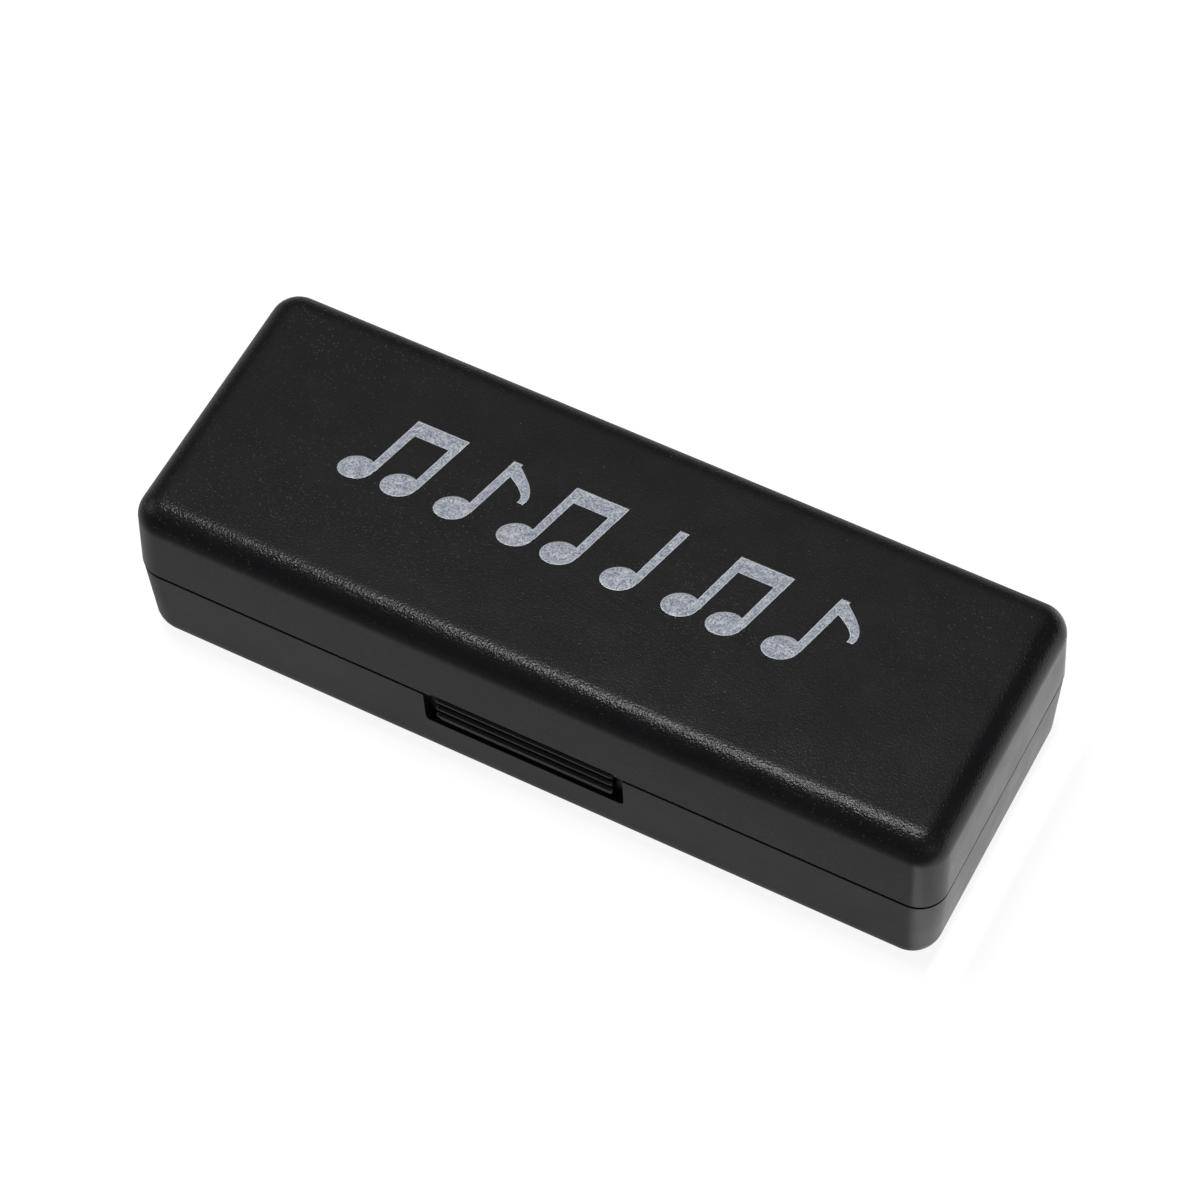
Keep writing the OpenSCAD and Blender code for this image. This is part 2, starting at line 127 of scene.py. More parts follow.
def carve(obj, cutter, operation="DIFFERENCE"):
    """Boolean of obj with cutter, which is used up."""
    modifier = obj.modifiers.new("carve", "BOOLEAN")
    modifier.operation = operation
    modifier.solver = "EXACT"
    modifier.object = cutter
    settle(obj)
    bpy.data.objects.remove(cutter)
    return obj


def bevel(obj, width, segments=2, angle=40):
    """Rounds the edges that are sharper than angle."""
    modifier = obj.modifiers.new("bevel", "BEVEL")
    modifier.width = width
    modifier.segments = segments
    modifier.limit_method = "ANGLE"
    modifier.angle_limit = math.radians(angle)
    return settle(obj)


def shade(obj, angle=35):
    """Smooth shading that keeps edges sharper than angle, with large flat faces ruling the normals."""
    mesh = obj.data
    for polygon in mesh.polygons:
        polygon.use_smooth = True
    mesh.set_sharp_from_angle(angle=math.radians(angle))
    modifier = obj.modifiers.new("normals", "WEIGHTED_NORMAL")
    modifier.keep_sharp = True
    modifier.weight = 80
    return settle(obj)


def join(name, parts):
    """One object made of several."""
    bm = bmesh.new()
    for part in parts:
        bm.from_mesh(part.data)
        bpy.data.objects.remove(part)
    return mesh_object(name, bm)


def finish_piece(obj, body, slot, material, *replaced):
    """Gives a piece its material and body, and hides the CAD nodes that it stands for. The slot is not used.
    """
    obj.data.materials.clear()
    obj.data.materials.append(material)
    for polygon in obj.data.polygons:
        polygon.material_index = 0
    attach(obj, body)
    if replaced:
        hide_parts(*replaced)
    return obj


def outline(length, width, radius, steps=CORNER_STEPS):
    """Points round a centred rectangle with round corners, anticlockwise."""
    points = []
    for sx, sy, start in ((1, 1, 0), (-1, 1, 90), (-1, -1, 180), (1, -1, 270)):
        for i in range(steps + 1):
            a = math.radians(start + 90 * i / steps)
            points.append((sx * (length / 2 - radius) + radius * math.cos(a),
                           sy * (width / 2 - radius) + radius * math.sin(a)))
    return points


def loft(name, rings):
    """Closed mesh through rings of (length, width, radius, z), capped at both ends."""
    bm = bmesh.new()
    loops = [[bm.verts.new((x, y, z)) for x, y in outline(length, width, radius)]
             for length, width, radius, z in rings]
    count = len(loops[0])
    for low, high in zip(loops, loops[1:]):
        for i in range(count):
            j = (i + 1) % count
            bm.faces.new((low[i], low[j], high[j], high[i]))
    bm.faces.new(list(reversed(loops[0])))
    bm.faces.new(loops[-1])
    return mesh_object(name, bm)


def round_corners(points, radii, steps=5):
    """The same closed outline with each corner turned into an arc of its own radius."""
    result = []
    for i, point in enumerate(points):
        here, r = Vector(point), radii[i]
        if r <= 0:
            result.append(tuple(here))
            continue
        before = (Vector(points[i - 1]) - here).normalized()
        after = (Vector(points[(i + 1) % len(points)]) - here).normalized()
        half = before.angle(after) / 2
        start = here + before * (r / math.tan(half))
        end = here + after * (r / math.tan(half))
        centre = here + (before + after).normalized() * (r / math.sin(half))
        a, b = start - centre, end - centre
        for k in range(steps + 1):
            t = k / steps
            direction = a.lerp(b, t)
            result.append(tuple(centre + direction.normalized() * r))
    return result


def prism(name, points, low, high, axis="Z"):
    """Extrudes an (x, y) outline along Z, a (y, z) outline along X or an (x, z) outline along Y."""
    place = {"X": lambda p, t: (t, p[0], p[1]),
             "Y": lambda p, t: (p[0], t, p[1]),
             "Z": lambda p, t: (p[0], p[1], t)}[axis]
    bm = bmesh.new()
    bottom = [bm.verts.new(place(p, low)) for p in points]
    top = [bm.verts.new(place(p, high)) for p in points]
    bm.faces.new(list(reversed(bottom)))
    bm.faces.new(top)
    for i in range(len(points)):
        j = (i + 1) % len(points)
        bm.faces.new((bottom[i], bottom[j], top[j], top[i]))
    return mesh_object(name, bm)


def block(name, low, high):
    """Box between two corners."""
    points = [(low[0], low[1]), (high[0], low[1]), (high[0], high[1]), (low[0], high[1])]
    return prism(name, points, low[2], high[2])


def circle(u, v, radius, steps=40):
    """Points round a circle about (u, v)."""
    angles = [2 * math.pi * i / steps for i in range(steps)]
    return [(u + radius * math.cos(a), v + radius * math.sin(a)) for a in angles]


def lathe(name, profile, centre, steps=40):
    """Turns (radius, z) points round the vertical axis through centre. Both ends are on the axis."""
    bm = bmesh.new()
    rings = []
    for radius, z in profile:
        if radius == 0:
            rings.append([bm.verts.new((centre[0], centre[1], z))])
        else:
            rings.append([bm.verts.new((x, y, z)) for x, y in circle(centre[0], centre[1], radius, steps)])
    for a, b in zip(rings, rings[1:]):
        for i in range(steps):
            j = (i + 1) % steps
            if len(a) == 1:
                bm.faces.new((a[0], b[i], b[j]))
            elif len(b) == 1:
                bm.faces.new((a[i], b[0], a[j]))
            else:
                bm.faces.new((a[i], b[i], b[j], a[j]))
    return mesh_object(name, bm)


def capsule(name, x0, x1, y, z, radius, steps=20, end_steps=6):
    """Rod along X with round ends that close on a tiny flat."""
    least_r = 0.02 * MM
    stations = []
    for i in range(end_steps + 1):
        a = math.pi / 2 * i / end_steps
        stations.append((x0 + radius * (1 - math.cos(a)), radius * math.sin(a)))
    stations += [(x0 + x1 - x, r) for x, r in reversed(stations)]
    bm = bmesh.new()
    rings = []
    for x, r in stations:
        rings.append([bm.verts.new((x, *p)) for p in circle(y, z, max(r, least_r), steps)])
    for a, b in zip(rings, rings[1:]):
        for k in range(steps):
            j = (k + 1) % steps
            bm.faces.new((a[k], a[j], b[j], b[k]))
    bm.faces.new(rings[0])
    bm.faces.new(rings[-1])
    return mesh_object(name, bm)


# ---------------------------------------------------------------- materials

class Paint:
    """A node material with short calls for the nodes that the finishes share.

    The keyword values are set on the shader's own sockets, with _ for a space in their names.
    """

    def __init__(self, name, **constants):
        self.material = bpy.data.materials.new(name)
        self.material.use_nodes = True
        self.tree = self.material.node_tree
        self.shader = self.tree.nodes["Principled BSDF"]
        for socket, value in constants.items():
            self.shader.inputs[socket.replace("_", " ")].default_value = value
        self.place = self.tree.nodes.new("ShaderNodeTexCoord").outputs["Object"]

    def link(self, source, node, socket):
        """Joins an output to one of a node's inputs."""
        self.tree.links.new(source, node.inputs[socket])

    def mapped(self, size, turn=(0, 0, 0)):
        """Object coordinates divided by a feature size in metres along each axis."""
        node = self.tree.nodes.new("ShaderNodeMapping")
        node.vector_type = "POINT"
        node.inputs["Rotation"].default_value = turn
        node.inputs["Scale"].default_value = [1 / s for s in size]
        self.link(self.place, node, "Vector")
        return node.outputs["Vector"]

    def noise(self, size, detail=2, roughness=0.5, turn=(0, 0, 0)):
        """Soft noise about 0.5 whose features have this size, or this size along each axis."""
        size = size if isinstance(size, tuple) else (size,) * 3
        node = self.tree.nodes.new("ShaderNodeTexNoise")
        node.inputs["Scale"].default_value = 1
        node.inputs["Detail"].default_value = detail
        node.inputs["Roughness"].default_value = roughness
        self.link(self.mapped(size, turn), node, "Vector")
        return node.outputs["Fac"]

    def spots(self, size, radius, share):
        """Small round specks: one for some of the cells of a grid, share of them kept."""
        node = self.tree.nodes.new("ShaderNodeTexVoronoi")
        node.inputs["Scale"].default_value = 1
        self.link(self.mapped((size,) * 3), node, "Vector")
        near = self.ramp(node.outputs["Distance"], (radius * 0.5, 1), (radius, 0))
        split = self.tree.nodes.new("ShaderNodeSeparateColor")
        self.link(node.outputs["Color"], split, "Color")
        dropped = 1 - share
        kept = self.ramp(split.outputs["Red"], (dropped - 0.01, 0), (dropped, 1))
        return self.math("MULTIPLY", near, kept)

    def ramp(self, source, *stops):
        """Maps a value through (position, value or colour) stops."""
        node = self.tree.nodes.new("ShaderNodeValToRGB")
        elements = node.color_ramp.elements
        while len(elements) < len(stops):
            elements.new(0.5)
        for element, (position, value) in zip(elements, stops):
            element.position = position
            colour = value if isinstance(value, tuple) else (value,) * 3
            element.color = (*colour, 1)
        self.link(source, node, "Fac")
        return node.outputs["Color"]

    def along(self, axis, start, end):
        """Rises from 0 at start to 1 at end along one of the object's own axes."""
        split = self.tree.nodes.new("ShaderNodeSeparateXYZ")
        self.link(self.place, split, "Vector")
        return self.rise(split.outputs[axis], start, end)

    def away(self, start, end):
        """Rises from 0 at start to 1 at end with the distance from the object's origin."""
        node = self.tree.nodes.new("ShaderNodeVectorMath")
        node.operation = "LENGTH"
        self.link(self.place, node, 0)
        return self.rise(node.outputs["Value"], start, end)

    def rise(self, source, start, end):
        """Rises smoothly from 0 to 1 as source goes from start to end."""
        node = self.tree.nodes.new("ShaderNodeMapRange")
        node.interpolation_type = "SMOOTHSTEP"
        node.inputs["From Min"].default_value = start
        node.inputs["From Max"].default_value = end
        self.link(source, node, "Value")
        return node.outputs["Result"]

    def math(self, operation, *values):
        """Result of a math node on numbers or sockets."""
        node = self.tree.nodes.new("ShaderNodeMath")
        node.operation = operation
        for socket, value in enumerate(values):
            if isinstance(value, (int, float)):
                node.inputs[socket].default_value = value
            else:
                self.link(value, node, socket)
        return node.outputs["Value"]

    def mix(self, factor, a, b):
        """Blends two colours, given as tuples or sockets."""
        node = self.tree.nodes.new("ShaderNodeMix")
        node.data_type = "RGBA"
        self.tree.links.new(factor, node.inputs[0])
        for socket, value in ((6, a), (7, b)):
            if isinstance(value, tuple):
                node.inputs[socket].default_value = (*value, 1)
            else:
                self.tree.links.new(value, node.inputs[socket])
        return node.outputs[2]

    def bump(self, *layers):
        """Stacks bumps of (height socket, depth in metres) on the shader's normal."""
        normal = None
        for height, depth in layers:
            node = self.tree.nodes.new("ShaderNodeBump")
            node.inputs["Strength"].default_value = 1
            node.inputs["Distance"].default_value = depth
            self.link(height, node, "Height")
            if normal is not None:
                self.link(normal, node, "Normal")
            normal = node.outputs["Normal"]
        self.link(normal, self.shader, "Normal")
        return self


def moulded_plastic(name, tone, roughness, dust_and_glint=0.0, crown=None):
    """Satin black plastic with a fine skin, faint waves, dust, painted glints of the grain and hairlines.

    crown is the height of a moulding's flat top. The rounded edge below it has a spark-eroded grain,
    which is half as deep on the flat.
    """
    paint = Paint(name, Specular_IOR_Level=0.5)
    skin = paint.noise(0.24 * MM, detail=2, roughness=0.6)
    waves = paint.noise(9 * MM, detail=1)
    rubbed = paint.noise(6 * MM, detail=4)
    dark = tuple(c * 0.85 for c in tone)
    colour = paint.mix(paint.ramp(rubbed, (0.35, 0), (0.7, 1)), dark, tone)
    if dust_and_glint:
        specks = paint.spots(1.9 * MM, 0.07, 0.3)
        # Painted glints: small pale specks in the base colour stand in for the grain's sparkle. They come
        # thicker in some patches than in others. The larger, sparser specks above are dust.
        glint_specks = paint.spots(0.46 * MM, 0.3, 0.4)
        streaks = paint.noise((7 * MM, 0.14 * MM, 7 * MM), detail=1, turn=(0, 0, 0.62))
        hair = paint.ramp(streaks, (0.74, 0), (0.79, 1))
        patches = paint.ramp(paint.noise(11 * MM, detail=2), (0.52, 0), (0.66, 1))
        faint_hair = paint.math("MULTIPLY", hair, paint.math("MULTIPLY", patches, 0.3))
        glint_spread = paint.ramp(paint.noise(24 * MM, detail=1), (0.38, 0.12), (0.6, 0.6))
        marks = paint.math("MAXIMUM", specks, paint.math("MULTIPLY", glint_specks, glint_spread))
        marks = paint.math("MAXIMUM", marks, faint_hair)
        # The dust, the painted glints and the faint hairlines share one pale brownish colour.
        colour = paint.mix(paint.math("MULTIPLY", marks, dust_and_glint), colour, (0.42, 0.39, 0.34))
    paint.link(colour, paint.shader, "Base Color")
    gloss = paint.ramp(rubbed, (0.3, roughness - 0.03), (0.7, roughness + 0.04))
    paint.link(gloss, paint.shader, "Roughness")
    layers = [(waves, 0.02 * MM), (skin, 0.012 * MM)]
    if crown is not None:
        grain = paint.noise(0.3 * MM, detail=1)
        upper = paint.along("Z", crown - 3.5 * MM, crown - 0.5 * MM)
        flat = paint.along("Z", crown - 0.14 * MM, crown)
        share = paint.math("MULTIPLY", upper, paint.math("MULTIPLY_ADD", flat, -0.5, 1))
        layers.append((paint.math("MULTIPLY", grain, share), 0.08 * MM))
    paint.bump(*layers)
    return paint.material


def stamped_foil():
    """Silver-white foil pressed into the lid: grey worn grain inside a crisp pale outline."""
    paint = Paint("stamped_foil", Metallic=0.5)
    clouds = paint.noise(1.3 * MM, detail=3, roughness=0.65)
    grain = paint.noise(0.24 * MM, detail=2, roughness=0.65)
    grainy = paint.ramp(grain, (0.34, 0.1), (0.58, 1))
    worn = paint.math("MULTIPLY", grainy, paint.ramp(clouds, (0.38, 0.6), (0.6, 1)))
    rim = paint.tree.nodes.new("ShaderNodeAttribute")
    rim.attribute_name = "rim"
    edge = paint.math("MULTIPLY", paint.ramp(rim.outputs["Fac"], (0.15, 0), (0.65, 1)),
                      paint.ramp(grain, (0.3, 0.75), (0.45, 1)))
    silver = paint.mix(paint.math("MAXIMUM", worn, edge), (0.22, 0.25, 0.36), (0.93, 0.96, 1.0))
    paint.link(silver, paint.shader, "Base Color")
    paint.link(paint.ramp(grain, (0.3, 0.6), (0.7, 0.45)), paint.shader, "Roughness")
    paint.bump((clouds, 0.03 * MM), (grain, 0.045 * MM))
    return paint.material


def flocked(name, tone):
    """Short velvet pile over foam, with soft light and dark patches where the pile lies over."""
    paint = Paint(name, Specular_IOR_Level=0.15, Sheen_Weight=0.8, Sheen_Roughness=0.35,
                  Sheen_Tint=(0.45, 0.52, 0.75, 1), Roughness=0.95)
    pile = paint.noise(0.12 * MM, detail=2, roughness=0.7)
    brushed = paint.noise((7 * MM, 3 * MM, 3 * MM), detail=3)
    low, high = tuple(c * 0.55 for c in tone), tuple(c * 1.5 for c in tone)
    patches = paint.ramp(brushed, (0.3, 0.5), (0.7, 1))
    lying = paint.math("MULTIPLY", patches, paint.ramp(pile, (0.25, 0.4), (0.7, 1)))
    paint.link(paint.mix(lying, low, high), paint.shader, "Base Color")
    paint.bump((brushed, 0.05 * MM), (pile, 0.05 * MM))
    return paint.material


def brushed_metal(name, tone, roughness, along=(6, 0.05, 0.05), depth=0.0008, stain=0.0,
                  stain_tone=(0, 0, 0)):
    """Metal with cloudy handling marks and brushing whose lines have the size along, in millimetres."""
    paint = Paint(name, Metallic=1.0)
    lines = paint.noise(tuple(s * MM for s in along), detail=3, roughness=0.6)
    smears = paint.noise(5 * MM, detail=4, roughness=0.6)
    colour = paint.mix(paint.ramp(lines, (0.3, 0), (0.7, 1)), tuple(c * 0.88 for c in tone), tone)
    if stain:
        tarnish = paint.math("MULTIPLY", paint.ramp(smears, (0.45, 0), (0.75, 1)), stain)
        colour = paint.mix(tarnish, colour, stain_tone)
    paint.link(colour, paint.shader, "Base Color")
    rough = paint.math("ADD", paint.ramp(smears, (0.35, roughness), (0.7, roughness + 0.1)),
                       paint.math("MULTIPLY", lines, 0.06))
    paint.link(rough, paint.shader, "Roughness")
    paint.bump((lines, depth * MM))
    return paint.material


lid_plastic = moulded_plastic("lid_plastic", (0.0085, 0.0085, 0.0095), 0.28, 0.28, lid_high.z)
base_plastic = moulded_plastic("base_plastic", (0.0115, 0.011, 0.0115), 0.36, dust_and_glint=0.08)
latch_plastic = moulded_plastic("latch_plastic", (0.011, 0.011, 0.0115), 0.24)
comb_plastic = moulded_plastic("comb_plastic", (0.014, 0.014, 0.015), 0.42)
foil = stamped_foil()
bed_flock = flocked("bed_flock", (0.014, 0.024, 0.085))
pad_flock = flocked("pad_flock", (0.014, 0.024, 0.085))
cover_steel = brushed_metal("cover_steel", (0.66, 0.66, 0.67), 0.13, along=(9, 0.07, 0.07), depth=0.0006)
pin_steel = brushed_metal("pin_steel", (0.5, 0.5, 0.51), 0.25, along=(0.05, 2, 2))
bolt_steel = brushed_metal("bolt_steel", (0.56, 0.55, 0.53), 0.2, along=(0.3, 0.3, 0.3))
plate_brass = brushed_metal("plate_brass", (0.78, 0.56, 0.26), 0.26, stain=0.35,
                            stain_tone=(0.35, 0.2, 0.09))
reed_brass = brushed_metal("reed_brass", (0.84, 0.64, 0.33), 0.22, along=(0.05, 4, 0.05))
rivet_brass = brushed_metal("rivet_brass", (0.7, 0.5, 0.24), 0.3, along=(0.3, 0.3, 0.3))
screw_brass = brushed_metal("screw_brass", (0.76, 0.55, 0.27), 0.24, along=(0.3, 0.3, 0.3))


# ---------------------------------------------------------------- case shells

def shell_rings(length, width, height, fillet, draft, inner_steps):
    """Rings of a shell that opens at z = 0 and closes at z = height.

    They run from the inner cap round the rim to the outer cap. inner_steps are the (inset, z) corners of
    the rim's inner side, from the inside out, and the last one gives the height of the rim.
    """
    def ring(inset, z, radius):
        """One ring at a distance inside the outline."""
        return (length - 2 * inset, width - 2 * inset, max(radius, 0.05 * MM), z)

    def turn(base_inset, top, r, radius):
        """Rings of a quarter circle from the wall to the flat at height top."""
        rings = []
        for i in range(EDGE_STEPS + 1):
            a = math.pi / 2 * i / EDGE_STEPS
            inset = base_inset + draft + r * (1 - math.cos(a))
            narrowing = 1 - corner_taper * (1 - math.cos(a))
            rings.append(ring(inset, top - r * (1 - math.sin(a)), radius * narrowing))
        return rings

    support = 0.5 * MM
    inner = turn(wall, height - floor_t, fillet - wall, corner_r - wall)
    inner.append(ring(wall + draft + fillet - wall + support, height - floor_t, 0.2 * MM))
    outer = []
    rim_z = inner_steps[-1][1]
    for i in range(RIM_STEPS + 1):
        a = math.pi / 2 * i / RIM_STEPS
        outer.append(ring(edge_break * (1 - math.sin(a)), rim_z + edge_break * (1 - math.cos(a)), corner_r))
    outer += turn(0, height, fillet, corner_r)
    outer.append(ring(draft + fillet + support, height, 0.2 * MM))
    rim = [ring(inset, z, corner_r - inset) for inset, z in inner_steps]
    return list(reversed(inner)) + rim + outer


def flip_to_base(obj):
    """Turns a shell that was built upwards into one that hangs below the parting plane."""
    obj.data.transform(Matrix.Translation((0, 0, parting_z)) @ Matrix.Scale(-1, 4, (0, 0, 1)))
    obj.data.flip_normals()
    return obj


def raise_to_lid(obj):
    """Lifts a shell that was built upwards from zero to the parting plane."""
    obj.data.transform(Matrix.Translation((0, 0, parting_z)))
    return obj


def ornament_copy(name, low, high):
    """The notes' own outline as a solid between two heights."""
    bm = bmesh.new()
    bm.from_mesh(nodes["lid_ornament"].data)
    bmesh.ops.remove_doubles(bm, verts=bm.verts, dist=1e-7)
    bmesh.ops.dissolve_limit(bm, angle_limit=math.radians(1), verts=bm.verts, edges=bm.edges)
    middle = sum(v.co.z for v in bm.verts) / len(bm.verts)
    for vert in bm.verts:
        vert.co.z = high if vert.co.z > middle else low
    return mesh_object(name, bm)


def lid_shell():
    """Lid with its front rail, the relief over the latch, the latch's groove and the bed of the notes."""
    rebate_z = lip_h + 0.15 * MM
    rings = shell_rings(case_l, case_w, lid_h, lid_fillet, lid_draft,
                        [(wall, rebate_z), (rebate, rebate_z), (rebate, rim_gap)])
    shell = raise_to_lid(loft("lid_shell", rings))
    rail = block("rail", (-boss_l / 2, lid_low.y + edge_break + 0.1 * MM, parting_z + rim_gap),
                 (boss_l / 2, lid_low.y + wall + 0.02 * MM, parting_z + 2 * MM))
    carve(shell, rail, "UNION")
    relief_x = tab_high.x + lid_relief_gap
    relief = block("relief", (-relief_x, lid_low.y - 1 * MM, parting_z - 1 * MM),
                   (relief_x, lid_low.y + wall + 1 * MM, parting_z + lid_relief_h))
    carve(shell, bevel(relief, 0.3 * MM, 3, 60))
    groove_r = 0.5 * MM
    groove_half = tab_high.x + 0.1 * MM
    groove = prism("groove", circle(latch_axis.y, latch_axis.z, groove_r), -groove_half, groove_half, "X")
    carve(shell, groove)
    notes_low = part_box("lid_ornament")[0].z
    carve(shell, ornament_copy("cutter", notes_low, lid_high.z + 1 * MM))
    shade(shell)
    return finish_piece(shell, "lid", "lid_plastic", lid_plastic, "case_lid")


def base_shell():
    """Base with its lip, the boss behind the latch and the notch that the latch hangs in."""
    length, width = case_l - 2 * base_step, case_w - 2 * base_step
    lip_in = wall - lip_t
    lip_edge = 0.1 * MM
    lip_z = -lip_h
    rings = shell_rings(length, width, parting_z, base_fillet, base_draft,
                        [(wall, 0), (wall, lip_z + lip_edge), (wall - lip_edge, lip_z),
                         (lip_in + lip_edge, lip_z), (lip_in, lip_z + lip_edge), (lip_in, shadow_gap)])
    shell = flip_to_base(loft("base_shell", rings))
    front = -width / 2
    boss = block("boss", (-boss_l / 2, front + wall - 0.5 * MM, parting_z - boss_h),
                 (boss_l / 2, boss_y, parting_z - shadow_gap))
    carve(shell, bevel(boss, 0.3 * MM, 2, 60), "UNION")
    lip_cut = block("lip_cut", (-boss_l / 2 - 1 * MM, -case_w, parting_z - shadow_gap + 0.001 * MM),
                    (boss_l / 2 + 1 * MM, boss_y + 1 * MM, parting_z + 3 * MM))
    carve(shell, lip_cut)
    half, top, bottom, notch_r = notch_l / 2, parting_z + 2 * MM, parting_z - notch_h, 0.8 * MM
    mouth = round_corners([(-half, top), (-half, bottom), (half, bottom), (half, top)],
                          [0, notch_r, notch_r, 0])
    carve(shell, prism("notch", mouth, -case_w, notch_floor_y, "Y"))
    shade(shell)
    return finish_piece(shell, "base", "base_plastic", base_plastic, "case_base")


def knuckle(name, x0, x1, side):
    """One hinge knuckle with its web to the wall; side is -1 for the base and 1 for the lid."""
    r = knuckle_r
    web = r - 0.3 * MM
    steps = 36
    start = math.asin(web / r)
    short_of_wall = 0.06
    end = math.pi - short_of_wall
    arc = []
    low, high = (-start, end) if side < 0 else (-end, start)
    for i in range(steps + 1):
        a = low + (high - low) * i / steps
        arc.append((hinge.y + r * math.cos(a), hinge.z + r * math.sin(a)))
    wall_y = case_w / 2 - 0.6 * MM
    clear = 0.1 * MM
    if side < 0:
        points = arc + [(wall_y, hinge.z - clear), (wall_y, hinge.z - web)]
    else:
        points = arc + [(wall_y, hinge.z + web), (wall_y, hinge.z + clear)]
    solid = prism(name, points, x0, x1, "X")
    bore_r = pin_r + 0.03 * MM
    carve(solid, prism("bore", circle(hinge.y, hinge.z, bore_r), x0 - 1 * MM, x1 + 1 * MM, "X"))
    return bevel(solid, 0.15 * MM, 2, 50)


def hinge_knuckles():
    """Lid knuckles between pairs of base knuckles, on both pins."""
    half, gap, outer = 2.8 * MM, 0.2 * MM, 3 * MM
    middle = pin_high.x - half - gap - outer + 0.1 * MM
    lid_parts, base_parts = [], []
    for side in (-1, 1):
        x = side * middle
        lid_parts.append(knuckle("knuckle", x - half, x + half, 1))
        base_parts.append(knuckle("knuckle", x - half - gap - outer, x - half - gap, -1))
        base_parts.append(knuckle("knuckle", x + half + gap, x + half + gap + outer, -1))
    for name, parts, body, slot, material in (
            ("lid_knuckles", lid_parts, "lid", "lid_plastic", lid_plastic),
            ("base_knuckles", base_parts, "base", "base_plastic", base_plastic)):
        finish_piece(shade(join(name, parts)), body, slot, material)


def latch_grip():
    """Spring tab with three thumb ribs, a bead along its top and a barb along its lower edge."""
    mid_y = latch_axis.y
    front, back = mid_y - tab_t / 2, mid_y + tab_t / 2
    half = tab_high.x - 0.25 * MM
    low_r, top_r = 0.6 * MM, 0.15 * MM
    bead_r, barb_r = 0.4 * MM, 0.3 * MM
    barb_half = half - 4 * MM
    rib_r, rib_drop, rib_pitch, rib_count = 0.5 * MM, 1.1 * MM, 1.8 * MM, 3
    points = round_corners([(-half, tab_low.z), (half, tab_low.z),
                            (half, latch_axis.z), (-half, latch_axis.z)], [low_r, low_r, top_r, top_r])
    grip = bevel(prism("latch_grip", points, front, back, "Y"), 0.12 * MM)
    carve(grip, capsule("bead", tab_low.x, tab_high.x, mid_y, latch_axis.z, bead_r), "UNION")
    for i in range(rib_count):
        rib_z = parting_z - (rib_drop + rib_pitch * i)
        carve(grip, capsule("rib", tab_low.x, tab_high.x, front, rib_z, rib_r), "UNION")
    barb = capsule("barb", -barb_half, barb_half, back - 0.1 * MM, tab_low.z + barb_r, barb_r)
    carve(grip, barb, "UNION")
    shade(grip, 50)
    return finish_piece(grip, "latch", "latch_plastic", latch_plastic, "latch_tab")


def note_inlay():
    """Notes whose outline is marked in the attribute rim, so that the foil can be crisp and pale there."""
    low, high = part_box("lid_ornament")
    rim_w = 0.3 * MM
    top_z = high.z - 0.02 * MM
    inlay = bevel(ornament_copy("note_inlay", low.z, high.z), 0.06 * MM, 2, 40)
    bm = bmesh.new()
    bm.from_mesh(inlay.data)
    rim = bm.verts.layers.float.new("rim")
    top = [face for face in bm.faces if face.normal.z > 0.99 and face.calc_center_median().z > top_z]
    bmesh.ops.inset_region(bm, faces=top, thickness=rim_w, use_even_offset=True)
    inside = {vert for face in top if face.is_valid for vert in face.verts}
    for vert in bm.verts:
        vert[rim] = 0.0 if vert in inside else 1.0
    bm.to_mesh(inlay.data)
    bm.free()
    shade(inlay, 50)
    return finish_piece(inlay, "lid", "ornament_print", foil, "lid_ornament")


# ---------------------------------------------------------------- lining

def foam_bed():
    """Foam block with a pocket for the harmonica and a finger gap, its edges soft and its faces uneven."""
    low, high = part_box("base_cradle")
    harp_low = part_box("lower_cover")[0]
    length, width = high.x - low.x, high.y - low.y
    gap = 0.6 * MM
    pocket_x, pocket_y, pocket_r = -harp_low.x + gap, 13.5 * MM + gap, 1.5 * MM
    finger_x, finger_z = 18 * MM, 8 * MM
    above = high.z + 5 * MM
    bed_r = 2.4 * MM
    voxel = 0.55 * MM
    fillet = base_fillet - wall
    rings = [(length, width, bed_r, high.z)]
    for i in range(EDGE_STEPS + 1):
        a = math.pi / 2 * i / EDGE_STEPS
        inset = base_draft + fillet * (1 - math.cos(a))
        narrowing = 1 - corner_taper * (1 - math.cos(a))
        rings.append((length - 2 * inset, width - 2 * inset, bed_r * narrowing,
                      low.z + fillet * (1 - math.sin(a))))
    bed = loft("foam_bed", rings)
    carve(bed, prism("pocket", outline(2 * pocket_x, 2 * pocket_y, pocket_r), harp_low.z, above))
    carve(bed, block("finger", (-finger_x, -30 * MM, finger_z), (finger_x, -pocket_y + 1 * MM, above)))
    remesh = bed.modifiers.new("remesh", "REMESH")
    remesh.mode = "VOXEL"
    remesh.voxel_size = voxel
    smooth = bed.modifiers.new("smooth", "SMOOTH")
    smooth.iterations = 5
    smooth.factor = 0.5
    settle(bed)
    for vert in bed.data.vertices:
        place = vert.co / (6 * MM)
        swell = 0.1 * MM * noise.noise(place)
        if vert.co.z > harp_low.z + 0.5 * MM:
            vert.co += Vector((swell, swell, 0.6 * swell))
    bed.data.update()
    shade(bed, 80)
    finish_piece(bed, "base", "bed_lining", bed_flock, "base_cradle")


